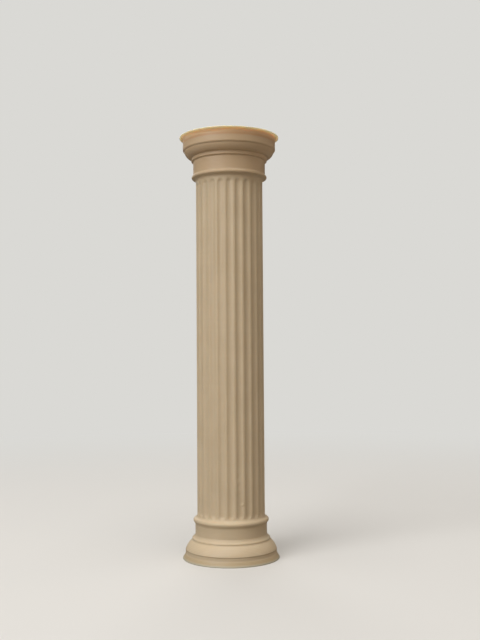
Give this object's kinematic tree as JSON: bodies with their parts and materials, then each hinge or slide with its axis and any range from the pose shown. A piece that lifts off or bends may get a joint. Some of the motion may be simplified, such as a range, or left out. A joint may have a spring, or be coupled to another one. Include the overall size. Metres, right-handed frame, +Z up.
{
  "type": "model column",
  "caption": "Round fluted model column with a stepped moulded base and a matching flared capital, one solid plastic ornament that stands by itself.",
  "frame": {"origin": "centre of the round underside, on the surface the column stands on", "axes": "+Z up along the column's axis; -Y towards the viewer, through the bottom of a flute; +X to the viewer's right"},
  "size_m": [0.0476, 0.0476, 0.2],
  "materials": {
    "beige_plastic": "matte"
  },
  "bodies": {
    "root": {"column": "beige_plastic"}
  },
  "joints": []
}
